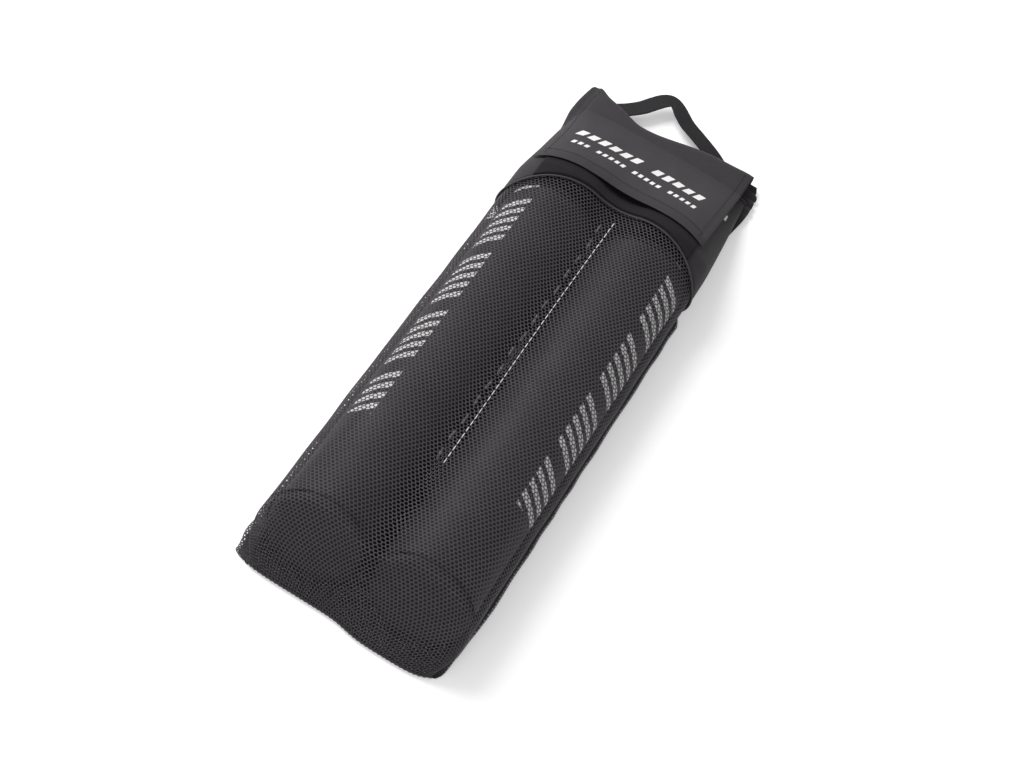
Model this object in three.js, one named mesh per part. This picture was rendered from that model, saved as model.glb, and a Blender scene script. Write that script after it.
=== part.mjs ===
// A pair of roof rack bar pads, packed side by side in their honeycomb mesh carry bag.
// Millimetres, +Z up. The pads lie along Y. The closed bottom of the bag is towards -Y, the
// woven header with its fold-over flap and webbing handle is towards +Y. Y = 0 is the upper
// rim of the pads' near end until the last lines, which centre the whole set on the origin.

import * as THREE from 'three';

const { clamp, degToRad, lerp } = THREE.MathUtils;

// Clearance between pieces that touch
const GAP = 0.3;

// Pads: foam folded over on itself round a rack bar, in a sewn cover
const PAD_LENGTH = 610;
const PAD_WIDTH = 142;
const PAD_HEIGHT = 102;
const PAD_SPACING = 3;
const END_SLANT = degToRad(28);
const COVER_THICKNESS = 1.2;
const CLOSURE_THICKNESS = 1.4;
const CLOSURE_WIDTH = 25;
const CLOSURE_INSET = 7;
const FOLD_WALL = 34;
const END_CAP_DEPTH = 13;
const END_ROUNDING = 4;
const PIPING_RADIUS = 1.8;
const PIPING_INSET = 1.6;

// Mesh body of the bag
const MESH_THICKNESS = 1.6;
const MESH_CLEARANCE = 3.4;
const MESH_PITCH = 54;
const MESH_STRAND = 9;
const MESH_BORDER = 7;
const BACK_THICKNESS = 1.2;
const BACK_FLAT_WIDTH = 212;
const BACK_EASE = 0.8;
const BOTTOM_REACH = 72;
const BOTTOM_FOLD_RADIUS = 1.5;
const SLOPE_EASE = 7;
const CORNER_CUT = 14;
const CORNER_SHARPNESS = 6;
const BOTTOM_WIDTH = 262;
const SAG_WIDTH = 64;
const SAG_SHARE = 0.14;
const SEAM_ANGLE = degToRad(-34);
const SEAM_WIDTH = 9;
const SEAM_THICKNESS = 2.6;
const SEAM_END = 17;
const SEAM_DROP = 13;

// Woven header and flap
const HEADER_THICKNESS = 1.2;
const HEADER_EASE = 1.4;
const HEM_OFFSET = 10;
const HEM_RADIUS = 2.2;
const HEM_TRIM = 0.015;
const HEM_SLANT = 1.3;
const HEM_BOW_LEFT = 55;
const HEM_BOW_RIGHT = 45;
const HEM_BOW_START = 0.64;
const MESH_UNDER_HEADER = 2;
const HEADER_LENGTH = 190;
const HEADER_ROWS = 7;
const HEADER_FALL = 1.15;
const MOUTH_WIDTH = 272;
const MOUTH_EDGE_HEIGHT = 7;
const MOUTH_SIDE_HEIGHT = 10;
const MOUTH_RISE = 13;
const MOUTH_FULLNESS = 2.6;
const MOUTH_HEM_RADIUS = 2.6;
const FOLD_CLEARANCE = 9;
const FOLD_BOW = 24;
const FOLD_DIP = 5;
const FOLD_DIP_AT = -46;
const FOLD_DIP_LEFT = 46;
const FOLD_DIP_RIGHT = 79;
const FLAP_WIDTH = 266;
const FLAP_SHIFT = -6;
const FLAP_LENGTH = 180;
const FLAP_END_BOW = 10;
const FLAP_THICKNESS = 1.2;
const FLAP_EASE = 1.5;
const FLAP_HEM = 20;
const TAPE_THICKNESS = 1.5;
const TAPE_LENGTH = 240;
const LOOP_TAPE_WIDTH = 60;
const HOOK_TAPE_WIDTH = 25;
const TAPE_START = 1;
const TAPE_ROWS = 4;
const TAG_LENGTH = 22;
const TAG_THICKNESS = 0.8;
const TAG_ACROSS = 0.885;
const TAG_SHARE = 0.03;
const TAG_ALONG = 0.66;

// Webbing handle
const WEBBING_WIDTH = 25;
const WEBBING_THICKNESS = 2;
const HANDLE_REACH = 79;
const HANDLE_LEFT_FOOT = -84;
const HANDLE_RIGHT_FOOT = 70;
const HANDLE_PEAK = -26;
const HANDLE_RISE = 10;

// Places that follow from the sizes above
const padX = (PAD_WIDTH + PAD_SPACING) / 2;
const padZ = BACK_THICKNESS + GAP + PAD_HEIGHT / 2;
const padTop = padZ + PAD_HEIGHT / 2;
const slitWidth = 2 * CLOSURE_THICKNESS + 3 * GAP;
const meshOuter = MESH_CLEARANCE + MESH_THICKNESS;
const headerInner = meshOuter + HEADER_EASE;
const hemY = PAD_LENGTH + HEM_OFFSET;
const headerStartY = hemY + HEM_SLANT * HEM_RADIUS + GAP;
const skirtEndY = headerStartY + MESH_UNDER_HEADER;
const mouthY = headerStartY + HEADER_LENGTH;
const foldY = mouthY + 2 * MOUTH_HEM_RADIUS + FOLD_CLEARANCE;
const flapLift = HEADER_THICKNESS + 2 * TAPE_THICKNESS + 2 * FLAP_THICKNESS + 4 * GAP + FLAP_EASE;

// Colours of the cloths and tapes
const FINISH = {
  foam: { color: 0x3a3b3d, roughness: 0.95, metalness: 0 },
  cover: { color: 0x2b292a, roughness: 0.62, metalness: 0 },
  piping: { color: 0x232122, roughness: 0.5, metalness: 0 },
  mesh: { color: 0x353234, roughness: 0.55, metalness: 0 },
  header: { color: 0x3d3a39, roughness: 0.8, metalness: 0 },
  binding: { color: 0x444142, roughness: 0.5, metalness: 0 },
  loop: { color: 0x1c1a1b, roughness: 1, metalness: 0 },
  hook: { color: 0x202021, roughness: 0.6, metalness: 0 },
  webbing: { color: 0x252424, roughness: 0.7, metalness: 0 },
  tag: { color: 0xe6e6e4, roughness: 0.7, metalness: 0 },
};

// Facets round a pad's rim
const RIM_STEPS = 32;

const alongY = new THREE.Vector3(0, 1, 0);
const set = new THREE.Group();

function add(name, geometry, finish) {
  const mesh = new THREE.Mesh(geometry, new THREE.MeshStandardMaterial(FINISH[finish]));
  mesh.name = name;
  set.add(mesh);
}

// Moves each vertex of a blank to the place that a function gives it
function bend(blank, place) {
  const position = blank.getAttribute('position');
  const point = new THREE.Vector3();
  for (let i = 0; i < position.count; i++) {
    place(point.fromBufferAttribute(position, i));
    position.setXYZ(i, point.x, point.y, point.z);
  }
  blank.computeVertexNormals();
  return blank;
}

// Point of a surface of two parameters, raised along its normal
function raised(surface, u, v, height) {
  const step = 1e-3;
  const [u0, u1] = [Math.max(u - step, 0), Math.min(u + step, 1)];
  const [v0, v1] = [Math.max(v - step, 0), Math.min(v + step, 1)];
  const alongU = surface(u1, v).sub(surface(u0, v));
  const alongV = surface(u, v1).sub(surface(u, v0));
  const normal = alongU.cross(alongV).normalize();
  return surface(u, v).addScaledVector(normal, height);
}

// Cloth of an even or a varying thickness, laid on a surface of two parameters
function cloth(surface, across, along, thickness) {
  const blank = new THREE.BoxGeometry(1, 1, 1, across, along, 1).translate(0.5, 0.5, 0.5);
  const depth = typeof thickness === 'function' ? thickness : () => thickness;
  return bend(blank, (p) => p.copy(raised(surface, p.x, p.y, p.z * depth(p.y))));
}

// Round bead along a curve, with one side of its section towards a given direction
function bead(curve, radius, sides, steps, side) {
  const blank = new THREE.CylinderGeometry(radius, radius, 1, sides, steps);
  blank.rotateX(Math.PI / 2).translate(0, 0, 0.5);
  return bend(blank, (p) => {
    const tangent = curve.getTangentAt(p.z);
    const first = side.clone().addScaledVector(tangent, -side.dot(tangent)).normalize();
    const second = tangent.clone().cross(first);
    const centre = curve.getPointAt(p.z);
    p.copy(centre.addScaledVector(first, p.x).addScaledVector(second, p.y));
  });
}

// Rim of a pad's section, from the upper lip of its slit round to the lower one
function padRim(inset, halfSlit) {
  const a = PAD_WIDTH / 2 - inset;
  const b = PAD_HEIGHT / 2 - inset;
  const lip = Math.asin(halfSlit / b);
  return new THREE.EllipseCurve(0, 0, a, b, lip, 2 * Math.PI - lip).getPoints(RIM_STEPS);
}

// Section of a pad, with the slit for the bar open towards the other pad
function padOutline(inward, inset, halfSlit, slitEnd) {
  const fold = new THREE.EllipseCurve(slitEnd, 0, halfSlit, halfSlit, -Math.PI / 2, Math.PI / 2, true);
  const points = [...padRim(inset, halfSlit), ...fold.getPoints(4)];
  const turned = points.map((p) => new THREE.Vector2(inward * p.x, p.y));
  return inward > 0 ? turned : turned.reverse();
}

// Stretch of a pad between two distances along it, its section drawn in X and Z
function alongPad(shape, from, to, bevel = 0) {
  const geometry = new THREE.ExtrudeGeometry(shape, {
    depth: to - from - 2 * bevel,
    bevelEnabled: bevel > 0,
    bevelThickness: bevel,
    bevelSize: bevel,
    bevelOffset: -bevel,
    bevelSegments: 2,
  });
  return geometry.rotateX(Math.PI / 2).translate(0, to - bevel, 0);
}

// The packed pads lean over, so that their near ends face up at a slant
function seatPad(geometry, side) {
  geometry.translate(side * padX, 0, padZ);
  return bend(geometry, (p) => p.setY(p.y - (padTop - p.z) * Math.tan(END_SLANT)));
}

function buildPad(label, side) {
  const inward = -side;
  const halfSlit = slitWidth / 2;
  const slitEnd = -PAD_WIDTH / 2 + FOLD_WALL;
  const outer = padOutline(inward, 0, halfSlit, slitEnd);

  const lining = COVER_THICKNESS;
  const coverShape = new THREE.Shape(outer);
  coverShape.holes.push(new THREE.Path(padOutline(inward, lining, halfSlit + lining, slitEnd)));
  const play = COVER_THICKNESS + GAP;
  const coreShape = new THREE.Shape(padOutline(inward, play, halfSlit + play, slitEnd));

  const start = END_CAP_DEPTH + 2 * PIPING_RADIUS + 2 * GAP;
  const end = PAD_LENGTH - start;
  add(`${label}_foam_core`, seatPad(alongPad(coreShape, start, end), side), 'foam');
  add(`${label}_cover`, seatPad(alongPad(coverShape, start, end), side), 'cover');

  const capShape = new THREE.Shape(outer);
  const nearCap = alongPad(capShape, 0, END_CAP_DEPTH, END_ROUNDING);
  const farCap = alongPad(capShape, PAD_LENGTH - END_CAP_DEPTH, PAD_LENGTH, END_ROUNDING);
  add(`${label}_near_end`, seatPad(nearCap, side), 'cover');
  add(`${label}_far_end`, seatPad(farCap, side), 'cover');

  const pipingAt = END_CAP_DEPTH + GAP + PIPING_RADIUS;
  for (const [place, y] of [['near', pipingAt], ['far', PAD_LENGTH - pipingAt]]) {
    const rim = padRim(PIPING_INSET, halfSlit + PIPING_RADIUS);
    const curve = new THREE.CatmullRomCurve3(rim.map((p) => new THREE.Vector3(inward * p.x, y, p.y)));
    const ring = bead(curve, PIPING_RADIUS, 5, RIM_STEPS, alongY);
    add(`${label}_${place}_piping`, seatPad(ring, side), 'piping');
  }

  const stripX = inward * (PAD_WIDTH / 2 - CLOSURE_INSET - CLOSURE_WIDTH / 2);
  for (const [kind, level] of [['loop', 1], ['hook', -1]]) {
    const strip = new THREE.BoxGeometry(CLOSURE_WIDTH, end - start, CLOSURE_THICKNESS);
    strip.translate(stripX, PAD_LENGTH / 2, level * (CLOSURE_THICKNESS + GAP) / 2);
    add(`${label}_closure_${kind}_strip`, seatPad(strip, side), kind);
  }
}

buildPad('left_pad', -1);
buildPad('right_pad', 1);

// Height of a cloth that lies a given offset above both pads and sags between them
function heightOverPads(x, offset) {
  const a = PAD_WIDTH / 2 + offset;
  const b = PAD_HEIGHT / 2 + offset;
  const edge = SAG_WIDTH / 2;
  const ellipse = (reach) => padZ + b * Math.sqrt(Math.max(1 - (reach / a) ** 2, 0));
  const away = Math.abs(x);
  if (away >= edge) return ellipse(away - padX);
  const reach = (padX - edge) / a;
  const slope = (b / a) * reach / Math.sqrt(1 - reach ** 2);
  return ellipse(padX - edge) - slope * edge / 2 * (1 - (away / edge) ** 2);
}

// Section of the cloth round the pads, from the left side seam over both to the right one
class ClothSection extends THREE.Curve {
  constructor(offset) {
    super();
    this.offset = offset;
  }

  getPoint(t, target = new THREE.Vector3()) {
    const a = PAD_WIDTH / 2 + this.offset;
    const b = PAD_HEIGHT / 2 + this.offset;
    const edge = SAG_WIDTH / 2;
    const innerAngle = Math.PI - Math.acos((padX - edge) / a);
    const side = t < 0.5 ? -1 : 1;
    const s = Math.abs(2 * t - 1);
    if (s < SAG_SHARE) {
      const x = edge * s / SAG_SHARE;
      return target.set(side * x, 0, heightOverPads(x, this.offset));
    }
    const angle = lerp(innerAngle, SEAM_ANGLE, (s - SAG_SHARE) / (1 - SAG_SHARE));
    return target.set(side * (padX + a * Math.cos(angle)), 0, padZ + b * Math.sin(angle));
  }
}

const meshSection = new ClothSection(MESH_CLEARANCE);
const headerSection = new ClothSection(headerInner);
const wrapHalfWidth = padX + PAD_WIDTH / 2 + headerInner;
const seamPoint = meshSection.getPoint(1);
const seamLevel = headerSection.getPoint(1).z - HEADER_THICKNESS - GAP;

// Distance that the bottom of the bag reaches past the pads, less at its two corners. The place
// across the bag goes from -1 at the left seam to 1 at the right one.
function bottomReach(across) {
  return BOTTOM_REACH - CORNER_CUT * Math.abs(across) ** CORNER_SHARPNESS;
}

// Place along Y, and the share left of the full height, on the slope over the near ends: the
// cloth runs straight on to the slanted rim of the ends and falls from there to the bottom
function nearSlope(y0, across, z) {
  if (y0 >= 0) return { y: y0, share: 1 };
  const rim = (padTop - z) * Math.tan(END_SLANT) + SLOPE_EASE;
  const reach = bottomReach(across);
  const straight = rim / (rim + Math.hypot(reach - rim, z - bottomLevel));
  const t = -y0 / slopeLength;
  if (t < straight) return { y: -rim * t / straight, share: 1 };
  const fallen = (t - straight) / (1 - straight);
  return { y: -lerp(rim, reach, fallen), share: 1 - fallen };
}

// Place in X on the slope: the cloth flattens towards an even width along the bottom
function flattened(x, across, share) {
  return lerp(x, across * BOTTOM_WIDTH / 2, (1 - share) ** 2);
}

const slopeLength = Math.hypot(BOTTOM_REACH, padTop);
const frontLength = slopeLength + headerStartY + MESH_UNDER_HEADER;
const meshWidth = meshSection.getLength();
const bottomLevel = BACK_THICKNESS + 2 * BOTTOM_FOLD_RADIUS + 2 * GAP;

// Front of the mesh body: arc length across, distance from the bottom fold along
function meshFront(u, v) {
  const across = clamp(2 * u - 1, -1, 1);
  const point = meshSection.getPointAt((across + 1) / 2);
  const { y, share } = nearSlope(v * frontLength - slopeLength, across, point.z);
  return point.set(flattened(point.x, across, share), y, lerp(bottomLevel, point.z, share));
}

// Corners of a hexagon standing on its tip, held back from both sides of a panel
function hexagon(x, y, radius, stretch, margin, width) {
  const corners = [];
  for (let i = 0; i < 6; i++) {
    const angle = Math.PI / 6 + i * Math.PI / 3;
    const free = x + radius * Math.cos(angle);
    const held = clamp(free, margin, width - margin);
    const cut = i % 3 === 1 ? Math.abs(held - free) * Math.tan(Math.PI / 6) : 0;
    const rise = radius * Math.sin(angle);
    corners.push(new THREE.Vector2(held, y + (rise - cut * Math.sign(rise)) * stretch));
  }
  return corners;
}

// Flat mesh panel of hexagonal cells round openings, every other row set off by half a pitch
function honeycombPanel(width, length) {
  const columns = Math.round(width / MESH_PITCH - 0.5);
  const pitch = width / (columns + 0.5);
  const radius = pitch / Math.sqrt(3);
  const rows = Math.round(length / radius / 1.5 - 1 / 3);
  const stretch = length / (1.5 * rows + 0.5) / radius;
  const openingRadius = radius - MESH_STRAND / Math.sqrt(3);
  const vertices = [];

  const corner = (p, z) => vertices.push(p.x, p.y, z);
  const face = (a, b, c) => {
    for (const p of [a, b, c]) corner(p, MESH_THICKNESS);
    for (const p of [c, b, a]) corner(p, 0);
  };
  const wall = (a, b) => {
    for (const p of [a, b]) corner(p, 0);
    corner(b, MESH_THICKNESS);
    corner(a, 0);
    for (const p of [b, a]) corner(p, MESH_THICKNESS);
  };

  for (let row = 0; row < rows; row++) {
    const y = (1.5 * row + 1) * radius * stretch;
    for (let cell = 0; cell <= columns; cell++) {
      const x = (cell + (row % 2 ? 0 : 0.5)) * pitch;
      const rim = hexagon(x, y, radius, stretch, 0, width);
      const opening = hexagon(x, y, openingRadius, stretch, MESH_BORDER, width);
      for (let i = 0; i < 6; i++) {
        const j = (i + 1) % 6;
        face(rim[i], rim[j], opening[i]);
        face(rim[j], opening[j], opening[i]);
        wall(opening[j], opening[i]);
        const middle = (rim[i].x + rim[j].x) / 2;
        if (middle < GAP || middle > width - GAP) wall(rim[i], rim[j]);
      }
    }
  }

  // Straight edges past the first and the last row
  for (let i = 0; i <= 2 * columns; i++) {
    for (const [row, y, apexY] of [[0, 0, radius / 2], [rows - 1, length, length / stretch - radius / 2]]) {
      const left = new THREE.Vector2(i * pitch / 2, y);
      const right = new THREE.Vector2((i + 1) * pitch / 2, y);
      const apex = new THREE.Vector2((i + row) % 2 ? right.x : left.x, apexY * stretch);
      const [from, to] = y > 0 ? [right, left] : [left, right];
      face(from, to, apex);
      wall(from, to);
      if (i === 0 && apex.x === left.x) wall(...(y > 0 ? [left, apex] : [apex, left]));
      if (i === 2 * columns && apex.x === right.x) wall(...(y > 0 ? [apex, right] : [right, apex]));
    }
  }
  const panel = new THREE.BufferGeometry();
  return panel.setAttribute('position', new THREE.Float32BufferAttribute(vertices, 3));
}

const frontBlank = honeycombPanel(meshWidth, frontLength);
add('bag_mesh_front', bend(frontBlank, (p) => {
  p.copy(raised(meshFront, p.x / meshWidth, p.y / frontLength, p.z));
}), 'mesh');

// Back of the mesh body: flat where the set lies on it, turned up to the side seams
const backFlatShare = BACK_FLAT_WIDTH / 2 / seamPoint.x;
const backEndY = headerStartY - GAP;

function backHeight(across, rim) {
  return rim * Math.max((across - backFlatShare) / (1 - backFlatShare), 0) ** 2;
}

const backRim = seamLevel - SEAM_THICKNESS - BACK_THICKNESS - GAP - BACK_EASE;

function meshBack(u, v) {
  const across = 2 * u - 1;
  const y0 = lerp(-slopeLength, backEndY, v);
  const { y, share } = nearSlope(y0, across, seamPoint.z);
  const x = flattened(across * seamPoint.x, across, share);
  return new THREE.Vector3(x, y, share * backHeight(Math.abs(across), backRim));
}

add('bag_mesh_back', cloth(meshBack, 18, 10, BACK_THICKNESS), 'mesh');

// Folded edge that joins the front to the back along the bottom
class BottomEdge extends THREE.Curve {
  getPoint(t) {
    const reach = (BOTTOM_WIDTH - SEAM_WIDTH) / 2;
    const x = lerp(-reach, reach, t);
    const z = BACK_THICKNESS + GAP + BOTTOM_FOLD_RADIUS;
    return new THREE.Vector3(x, -bottomReach(2 * x / BOTTOM_WIDTH), z);
  }
}

// Header band over the mouth of the bag: it falls from the pads' height to a low mouth
const equator = padZ;

function mouthHeight(x, z) {
  if (z < equator) {
    const edgeZ = headerSection.getPoint(1).z;
    return lerp(MOUTH_EDGE_HEIGHT, MOUTH_SIDE_HEIGHT, (z - edgeZ) / (equator - edgeZ));
  }
  const across = Math.min(Math.abs(x) / wrapHalfWidth, 1);
  return MOUTH_SIDE_HEIGHT + MOUTH_RISE * (1 - across ** MOUTH_FULLNESS) ** (1 / MOUTH_FULLNESS);
}

// How far the lower edge of the header hangs back towards the sides. The place across goes from
// -1 at the left seam to 1 at the right one.
function hemBow(across) {
  const most = across < 0 ? HEM_BOW_LEFT : HEM_BOW_RIGHT;
  return most * Math.tanh((Math.abs(across) / HEM_BOW_START) ** 3);
}

// Share of the way down from the pads' height to the mouth at a distance along the header
function headerBlend(y) {
  return clamp((y - headerStartY) / HEADER_LENGTH, 0, 1) ** HEADER_FALL;
}

function headerPoint(t, y) {
  const point = headerSection.getPoint(t);
  const blend = headerBlend(y);
  const x = point.x * lerp(1, MOUTH_WIDTH / 2 / wrapHalfWidth, blend);
  return point.set(x, y, lerp(point.z, mouthHeight(point.x, point.z), blend));
}

// Distance along a cloth of several rows: the first row is the skirt over the net
function alongRows(f, rows, start, end) {
  const row = f * rows;
  return row < 1 ? lerp(start, skirtEndY, row) : lerp(skirtEndY, end, (row - 1) / (rows - 1));
}

// Front of the header: first the skirt over the net, then the fall to the mouth
function headerFront(t, f) {
  return headerPoint(t, alongRows(f, HEADER_ROWS, headerStartY - hemBow(2 * t - 1), mouthY));
}

// Height of the header band's inner face at a place above the floor
function headerHeight(x, y) {
  const blend = headerBlend(y);
  const full = x / lerp(1, MOUTH_WIDTH / 2 / wrapHalfWidth, blend);
  return lerp(heightOverPads(full, headerInner), mouthHeight(full, Infinity), blend);
}

add('header_front_band', cloth(headerFront, 30, HEADER_ROWS, HEADER_THICKNESS), 'header');

// Rolled hem along the lower edge of the header, and the turned hem round the mouth
class BowedSection extends ClothSection {
  getPoint(t, target) {
    const place = lerp(HEM_TRIM, 1 - HEM_TRIM, t);
    return super.getPoint(place, target).setY(hemY - hemBow(2 * place - 1));
  }
}

class MouthEdge extends THREE.Curve {
  getPoint(t) {
    const along = new THREE.Vector3(0, GAP + MOUTH_HEM_RADIUS, HEADER_THICKNESS / 2);
    return headerPoint(t, mouthY).add(along);
  }
}

const hemCurve = new BowedSection(headerInner + HEM_RADIUS);
add('header_lower_hem', bead(hemCurve, HEM_RADIUS, 6, 36, alongY), 'binding');
add('bag_bottom_fold', bead(new BottomEdge(), BOTTOM_FOLD_RADIUS, 6, 16, alongY), 'mesh');
add('header_mouth_hem', bead(new MouthEdge(), MOUTH_HEM_RADIUS, 6, 24, alongY), 'header');

// Back of the header and the flap: one cloth, folded over the mouth and down the front
const BACK_PART = 0.25;
const FOLD_PART = 0.2;

function backAndFlap(u, v) {
  const across = 2 * u - 1;
  const x = across * FLAP_WIDTH / 2 + FLAP_SHIFT;
  if (v <= BACK_PART) {
    const y = lerp(headerStartY, foldLine(x), v / BACK_PART);
    const blend = headerBlend(y);
    const backX = lerp(across * (headerPoint(1, y).x - HEADER_THICKNESS), x, blend ** 2);
    return new THREE.Vector3(backX, y, backHeight(Math.abs(across), backRim * (1 - blend)));
  }
  const turn = (v - BACK_PART) / FOLD_PART;
  if (turn < 1) {
    const radius = foldHeight(x) / 2;
    const angle = Math.PI * turn;
    const y = foldLine(x) + radius * Math.sin(angle);
    return new THREE.Vector3(x, y, radius * (1 - Math.cos(angle)));
  }
  const end = foldY - FLAP_LENGTH - FLAP_END_BOW * across ** 2;
  const y = lerp(foldLine(x), end, (turn - 1) * FOLD_PART / (1 - BACK_PART - FOLD_PART));
  return new THREE.Vector3(x, y, headerHeight(x, y) + flapLift);
}

// The fold reaches further out towards both sides and dips between them
function foldLine(x) {
  const width = x < FOLD_DIP_AT ? FOLD_DIP_LEFT : FOLD_DIP_RIGHT;
  const out = 1 - Math.exp(-(((x - FOLD_DIP_AT) / width) ** 2));
  return foldY - FOLD_DIP + FOLD_BOW * out;
}

// Height of the flap's underside where it leaves the fold
function foldHeight(x) {
  return headerHeight(x, foldY) + flapLift;
}

const hemShare = 1 - FLAP_HEM / FLAP_LENGTH * (1 - BACK_PART - FOLD_PART);
const flapThickness = (v) => FLAP_THICKNESS * (v > hemShare ? 2 : 1);
add('header_back_and_flap', cloth(backAndFlap, 18, 20, flapThickness), 'header');

// How far the header's lower edge hangs back at a place above the floor
function bowAbove(x) {
  const away = Math.abs(x);
  if (away < SAG_WIDTH / 2) return hemBow(SAG_SHARE * away / SAG_WIDTH * 2);
  const angle = Math.acos((away - padX) / (PAD_WIDTH / 2 + headerInner));
  const edgeAngle = Math.acos((SAG_WIDTH / 2 - padX) / (PAD_WIDTH / 2 + headerInner));
  const share = lerp(SAG_SHARE, 1, (angle - edgeAngle) / (SEAM_ANGLE - edgeAngle));
  return hemBow(Math.sign(x) * share);
}

// Hook and loop tapes that hold the flap down, on the header and under the flap
function tape(lift, alongAt) {
  const surface = (u, v) => {
    const x = (u - 0.5) * TAPE_LENGTH;
    const y = alongAt(x, v);
    return new THREE.Vector3(x, y, headerHeight(x, y) + lift);
  };
  return cloth(surface, 22, TAPE_ROWS, TAPE_THICKNESS);
}

const loopStartY = headerStartY + TAPE_START;
const loopLift = HEADER_THICKNESS + 2 * GAP;
const loopEndY = loopStartY + LOOP_TAPE_WIDTH;
const hookLift = loopLift + TAPE_THICKNESS + 1.5 * GAP;
const loopTape = tape(loopLift, (x, v) => alongRows(v, TAPE_ROWS, loopStartY - bowAbove(x), loopEndY));
const hookTape = tape(hookLift, (x, v) => loopEndY - (1 - v) * HOOK_TAPE_WIDTH);
add('flap_loop_tape', loopTape, 'loop');
add('flap_hook_tape', hookTape, 'hook');

// Blank tag, sewn flat on the right side of the header just outside the flap
function tagSurface(u, v) {
  const t = TAG_ACROSS + u * TAG_SHARE;
  return raised(headerFront, t, TAG_ALONG + v * TAG_LENGTH / HEADER_LENGTH, HEADER_THICKNESS + GAP);
}

add('side_label_tag', cloth(tagSurface, 2, 2, TAG_THICKNESS), 'tag');

// Side seams: a flat sewn flange between the edges of the front and the back
function seamPlace(y0) {
  const { y, share } = nearSlope(y0, 1, seamPoint.z);
  if (y0 > headerStartY) {
    const edge = headerPoint(1, y0);
    return edge.setZ(edge.z - HEADER_THICKNESS - GAP);
  }
  const ahead = nearSlope(y0 - SEAM_DROP, 1, seamPoint.z).share;
  const z = lerp(SEAM_THICKNESS + GAP, seamLevel, ahead ** 2);
  return new THREE.Vector3(flattened(seamPoint.x, 1, share), y, z);
}

function sideSeam(side) {
  const surface = (u, v) => {
    const { x, y, z } = seamPlace(lerp(SEAM_END - slopeLength, mouthY, v));
    const reach = x + GAP + (side > 0 ? u : 1 - u) * SEAM_WIDTH;
    return new THREE.Vector3(side * reach, y, z - SEAM_THICKNESS);
  };
  return cloth(surface, 1, 36, SEAM_THICKNESS);
}

add('bag_left_side_seam', sideSeam(-1), 'binding');
add('bag_right_side_seam', sideSeam(1), 'binding');

// Webbing handle: both feet stand against the fold, the peak lies off to the left
const foldOuter = (x) => foldLine(x) + foldHeight(x) / 2;
const handlePeakY = foldY + HANDLE_REACH;

// Point of the handle between a foot and the peak, as shares of the way in X, Y and Z
function handlePoint(footX, across, out, up) {
  const halfWidth = WEBBING_WIDTH / 2;
  const footY = Math.max(foldOuter(footX - halfWidth), foldOuter(footX + halfWidth)) + GAP;
  const x = lerp(footX, HANDLE_PEAK, across);
  const z = foldHeight(footX) / 2 + up * HANDLE_RISE;
  return new THREE.Vector3(x, lerp(footY, handlePeakY, out), z);
}

const handlePath = new THREE.CatmullRomCurve3([
  handlePoint(HANDLE_LEFT_FOOT, 0, 0, 0),
  handlePoint(HANDLE_LEFT_FOOT, 0.04, 0.16, 0.1),
  handlePoint(HANDLE_LEFT_FOOT, 0.3, 0.5, 0.3),
  handlePoint(HANDLE_LEFT_FOOT, 0.66, 0.88, 0.8),
  handlePoint(HANDLE_LEFT_FOOT, 1, 1, 1),
  handlePoint(HANDLE_RIGHT_FOOT, 0.76, 0.84, 0.9),
  handlePoint(HANDLE_RIGHT_FOOT, 0.45, 0.5, 0.5),
  handlePoint(HANDLE_RIGHT_FOOT, 0.08, 0.16, 0.1),
  handlePoint(HANDLE_RIGHT_FOOT, 0, 0, 0),
]);

function handleSurface(u, v) {
  const centre = handlePath.getPointAt(v);
  const turn = -Math.PI * v;
  const side = new THREE.Vector3(Math.cos(turn), Math.sin(turn), 0);
  return centre.addScaledVector(side, (u - 0.5) * WEBBING_WIDTH);
}

add('handle_webbing', cloth(handleSurface, 2, 36, WEBBING_THICKNESS), 'webbing');

// The origin goes to the middle of the length, on the surface that the bag lies on
const nearest = -BOTTOM_REACH - BOTTOM_FOLD_RADIUS;
const farthest = handlePeakY + WEBBING_WIDTH / 2;
set.position.y = -(nearest + farthest) / 2;

export default set;
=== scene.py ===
"""Looks of a pair of roof rack bar pads, packed side by side in a honeycomb mesh carry bag."""

import math
from collections import namedtuple

import bmesh
import bpy
import numpy as np
from mathutils import Matrix, Vector


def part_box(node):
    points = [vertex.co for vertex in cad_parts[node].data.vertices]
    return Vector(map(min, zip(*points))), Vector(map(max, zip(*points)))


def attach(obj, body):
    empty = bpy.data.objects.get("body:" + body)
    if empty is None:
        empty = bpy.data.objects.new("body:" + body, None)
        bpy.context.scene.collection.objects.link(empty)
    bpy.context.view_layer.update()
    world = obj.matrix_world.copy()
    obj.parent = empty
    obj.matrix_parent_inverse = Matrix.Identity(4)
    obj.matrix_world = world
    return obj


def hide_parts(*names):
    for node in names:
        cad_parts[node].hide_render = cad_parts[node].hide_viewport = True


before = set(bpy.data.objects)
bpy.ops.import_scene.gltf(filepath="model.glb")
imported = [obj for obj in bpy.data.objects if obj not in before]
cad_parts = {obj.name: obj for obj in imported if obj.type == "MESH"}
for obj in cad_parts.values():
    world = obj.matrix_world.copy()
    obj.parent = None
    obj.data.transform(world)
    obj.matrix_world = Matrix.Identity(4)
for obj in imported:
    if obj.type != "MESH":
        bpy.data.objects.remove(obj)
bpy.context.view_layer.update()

# Sizes in millimetres, in a frame whose Y starts at the upper rim of the pads' near end

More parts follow.
